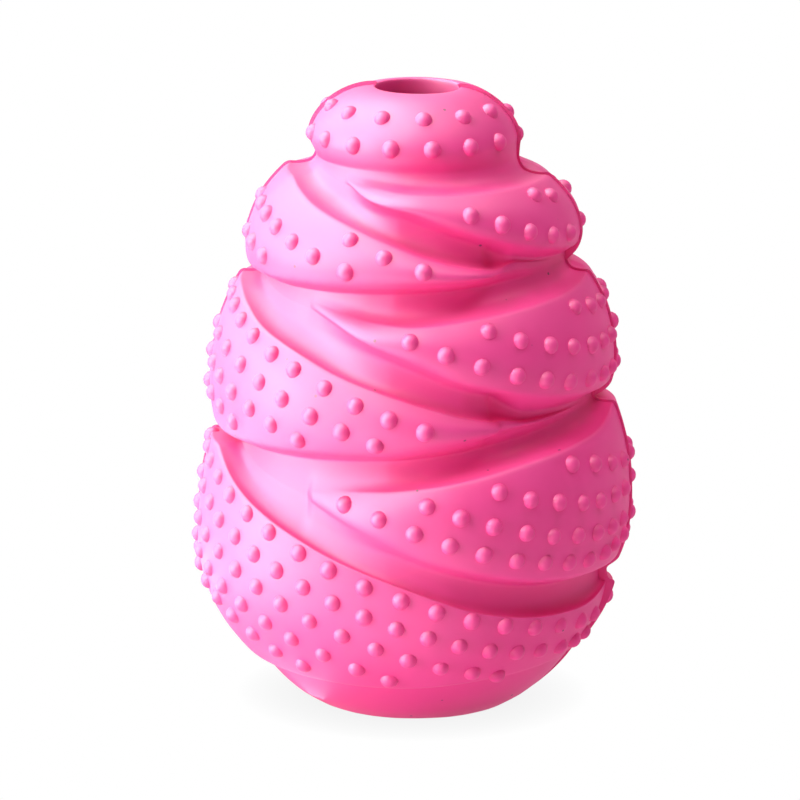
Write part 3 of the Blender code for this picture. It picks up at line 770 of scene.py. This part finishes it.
# Rows of studs of the rear ribbons: height as a share of the tier at angles
Row = namedtuple("Row", "tier shares")
REAR_STUD_ROWS = (
    Row(TIER_2, ((5, 0.65), (176, 0.57))),
    Row(TIER_2, ((3, 0.36), (173, 0.27))),
    Row(TIER_3, ((5, 0.82), (90, 0.78), (176, 0.82))),
    Row(TIER_3, ((3, 0.60), (173, 0.60))),
    Row(TIER_3, ((5, 0.38), (176, 0.39))),
    Row(TIER_3, ((90, 0.21), (173, 0.18))),
    Row(TIER_4, ((5, 0.86), (176, 0.81))),
    Row(TIER_4, ((3, 0.73), (173, 0.68))),
    Row(TIER_4, ((5, 0.60), (176, 0.54))),
    Row(TIER_4, ((3, 0.50), (173, 0.41))),
    Row(TIER_4, ((75, 0.34), (176, 0.27))),
    Row(TIER_4, ((118, 0.20), (173, 0.13))),
    Row(TIER_4, ((5, 0.23), (45, 0.17))),
    Row(TIER_4, ((3, 0.12), (80, 0.06))),
)


def rear_tier(tier, groove, next_groove, angle):
    """Outline of a tier at the rear, where the ribbon runs on at its full height."""
    top = (groove.radius, groove_height(groove, angle), GROOVE_BEND)
    turn = smooth(angle / 180.0)
    crest = mix(line_height(tier, tier.upper_crest, 360), line_height(tier, tier.lower_crest, 180), turn)
    crest -= tier.sag * rearward(angle)
    if next_groove:
        lip = groove_height(next_groove, angle) + mix(END_LIP_DROP, LIP_DROP, turn)
    else:
        lip = line_height(tier, tier.turn_lip, angle)
    face = face_points(crest, lip, REAR_FACE_ROWS[tier.foot], lambda z: face_radius(z, crest, lip))
    fill = through(LEDGE_FILL, angle)
    slope = [(r, mix(z, mix(top[1], crest, drop), fill), bend)
             for (r, z, bend), drop in zip(hollow(top, face[0]), FULL_DROPS)]
    points = [top] + slope + face
    if next_groove:
        return points
    low_crest = line_height(tier, tier.turn_crest, angle)
    low_lip = line_height(tier, tier.lower_lip, angle)
    fade = 1.0 - smooth((angle - TURN_END[0]) / (TURN_END[1] - TURN_END[0]))
    inset = mix(FOOT_STEP, CREST_INSET, fade)
    low = face_points(low_crest, low_lip, FACE_ROWS, lambda z: egg(z) - inset)
    drop = min(VALLEY_DROP, VALLEY_SHARE * (lip - low_crest))
    valley = (min(face[-1][0], low[0][0]) - VALLEY_DEPTH * fade - VALLEY_LEAST, lip - drop, VALLEY_BEND)
    return points + [valley] + hollow(valley, low[0])[1:] + low


def row_places(row):
    """Angles and heights of a rear row's studs, one stud pitch apart along the row."""
    angles = np.linspace(row.shares[0][0], row.shares[-1][0], ROW_SAMPLES)
    heights = [row.tier.foot + row.tier.height * through(row.shares, a) for a in angles]
    path = [outline_at(a, z, rear_tier) for a, z in zip(angles, heights)]
    steps = [np.linalg.norm(b - a) for a, b in zip(path, path[1:])]
    along = np.concatenate(([0.0], np.cumsum(steps)))
    count = max(int(round(along[-1] / STUD_PITCH)), 1)
    stops = np.linspace(0.0, along[-1], count + 1)
    return list(zip(np.interp(stops, along, angles), np.interp(stops, along, heights)))


rear_angles = half_angles(0.0, 180.0)
rear, rear_rows = wound_sheet("rear_half", rear_angles, 1.0, rear_tier, SEAM_FLASH)
close_sheet(rear, rear_rows, len(rear_angles))
uneven(rear, "rear_waves")
rear_places = [place for row in REAR_STUD_ROWS for place in row_places(row)] + cap_places(0.0, 180.0)
add_studs(rear, rear_tier, rear_places, 12)
finish_shell(rear, "rear_shell", moulded_rubber("moulded_rubber_rear"))

# Floor
# A plain sheet of matt white paper that runs far past the toy.  To the camera and in the toy's gloss it glows
# plain white, with a painted shadow round the toy's foot; for the toy's diffuse light it also glows faintly,
# so that it lights the toy from below though it is no lamp.
WHITE = "FFFFFF"
FLOOR_GLOW = 0.22
PAINTED_SHADOW_REACH = 7.0
CONTACT_SHADE = 0.88
deselect()
bpy.ops.mesh.primitive_plane_add(size=8.0, location=(0.0, 0.0, 0.0))
floor = bpy.context.active_object
floor.name = "floor"
paper = bpy.data.materials.new("matt_white_paper")
paper.use_nodes = True
tree = paper.node_tree
tree.nodes.clear()
path = add(tree, "ShaderNodeLightPath")
seen = add(tree, "ShaderNodeMath", {"operation": "MAXIMUM"},
           [(0, path, "Is Camera Ray"), (1, path, "Is Glossy Ray")])
matt = add(tree, "ShaderNodeBsdfDiffuse", {"Color": linear("E0E0E0")})
# Painted light: the floor glows faintly for diffuse rays and brightens the toy's lower faces, as if the floor
# were a lamp
floor_glow_emission = add(tree, "ShaderNodeEmission", {"Color": linear(WHITE), "Strength": FLOOR_GLOW})
flat = add(tree, "ShaderNodeAddShader", {}, [(0, matt, "BSDF"), (1, floor_glow_emission, "Emission")])
# Painted shadow: ambient occlusion darkens the floor's camera-seen white glow near the toy's foot
painted_shadow_occlusion = add(tree, "ShaderNodeAmbientOcclusion", {"Distance": PAINTED_SHADOW_REACH * MM})
shade = add(tree, "ShaderNodeMapRange", {"To Min": CONTACT_SHADE, "To Max": 1.0}, [("Value", painted_shadow_occlusion, "AO")])
glow = add(tree, "ShaderNodeEmission", {"Color": linear(WHITE)}, [("Strength", shade, "Result")])
blend = add(tree, "ShaderNodeMixShader", {}, [(0, seen, "Value"), (1, flat, "Shader"), (2, glow, "Emission")])
add(tree, "ShaderNodeOutputMaterial", {}, [("Surface", blend, "Shader")])
floor.data.materials.append(paper)

# Lamps
# Softboxes on the left and above give the light, with a weak fill at the right.  White cards round the
# toy, and three that lie on the table, are seen in its gloss alone.  Here and at the camera, distances are
# in metres.
TOY_MIDDLE = 0.0435
LAMP_SIZE = 0.45
SURROUND_LIGHT = 0.03


def softbox(name, azimuth, elevation, power):
    """A square lamp a metre from the middle of the toy."""
    light = bpy.data.lights.new(name, "AREA")
    light.shape = "SQUARE"
    light.size = LAMP_SIZE
    light.energy = power
    lamp = bpy.data.objects.new(name, light)
    bpy.context.scene.collection.objects.link(lamp)
    a = math.radians(azimuth)
    e = math.radians(elevation)
    way = Vector((math.cos(a) * math.cos(e), math.sin(a) * math.cos(e), math.sin(e)))
    spot = Vector((0.0, 0.0, TOY_MIDDLE)) + way
    lamp.matrix_world = Matrix.Translation(spot) @ way.to_track_quat("Z", "Y").to_matrix().to_4x4()
    return lamp


for name, azimuth, elevation, power in (
        ("front_left_softbox", 220, 5, 6.4), ("high_front_softbox", 222, 42, 4.9),
        ("high_left_softbox", 155, 40, 2.8), ("top_softbox", 180, 60, 3.0), ("right_fill", 0, 65, 4.6)):
    softbox(name, azimuth, elevation, power).visible_glossy = False
for name, azimuth, elevation, power in (
        ("left_card", 200, 5, 35.0), ("low_left_card", 155, 8, 6.0), ("front_left_card", 220, 35, 16.4),
        ("near_left_card", 195, 35, 7.0), ("side_left_card", 150, 35, 9.0), ("high_left_card", 150, 65, 24.3),
        ("high_front_card", 245, 65, 16.6), ("high_right_card", 0, 65, 3.5)):
    softbox(name, azimuth, elevation, power).visible_diffuse = False
for name, azimuth, far, size, power in (
        ("left_table_card", 200, 0.16, 0.2, 1.25), ("front_table_card", 240, 0.16, 0.2, 0.45),
        ("near_table_card", 225, 0.10, 0.12, 0.16)):
    card = softbox(name, azimuth, 0, power)
    card.data.size = size
    turned = math.radians(azimuth)
    spot = Vector((far * math.cos(turned), far * math.sin(turned), 2 * MM))
    card.matrix_world = Matrix.Translation(spot) @ Matrix.Rotation(math.pi, 4, "X")
    card.visible_diffuse = False
    card.visible_camera = False
world = bpy.data.worlds.new("surround")
bpy.context.scene.world = world
world.use_nodes = True
tree = world.node_tree
tree.nodes.clear()
path = add(tree, "ShaderNodeLightPath")
seen = add(tree, "ShaderNodeMath", {"operation": "MAXIMUM"},
           [(0, path, "Is Camera Ray"), (1, path, "Is Glossy Ray")])
clear = add(tree, "ShaderNodeMath", {"operation": "MAXIMUM"},
            [(0, seen, "Value"), (1, path, "Is Transmission Ray")])
strength = add(tree, "ShaderNodeMapRange", {"To Min": SURROUND_LIGHT, "To Max": 1.0},
               [("Value", clear, "Value")])
back = add(tree, "ShaderNodeBackground", {"Color": linear(WHITE)}, [("Strength", strength, "Result")])
add(tree, "ShaderNodeOutputWorld", {}, [("Surface", back, "Background")])

# Camera
# A long lens, a little to the right of the front and a little above the toy.
AZIMUTH = math.radians(8.0)
ELEVATION = math.radians(13.5)
DISTANCE = 0.85
LENS = 273.65
ROLL = math.radians(0.426)
SHIFT = (-0.0190, -0.0100)
away = Vector((math.sin(AZIMUTH) * math.cos(ELEVATION), -math.cos(AZIMUTH) * math.cos(ELEVATION),
               math.sin(ELEVATION)))
right = Vector((math.cos(AZIMUTH), math.sin(AZIMUTH), 0.0))
up = away.cross(right)
right, up = math.cos(ROLL) * right + math.sin(ROLL) * up, math.cos(ROLL) * up - math.sin(ROLL) * right
view = bpy.data.cameras.new("camera")
view.lens = LENS
view.sensor_width = 36.0
view.shift_x, view.shift_y = SHIFT
camera = bpy.data.objects.new("camera", view)
bpy.context.scene.collection.objects.link(camera)
turn = Matrix((right, up, away)).transposed().to_4x4()
camera.matrix_world = Matrix.Translation(away * DISTANCE + Vector((0.0, 0.0, TOY_MIDDLE))) @ turn
bpy.context.scene.camera = camera
bpy.context.scene.view_settings.view_transform = "Standard"
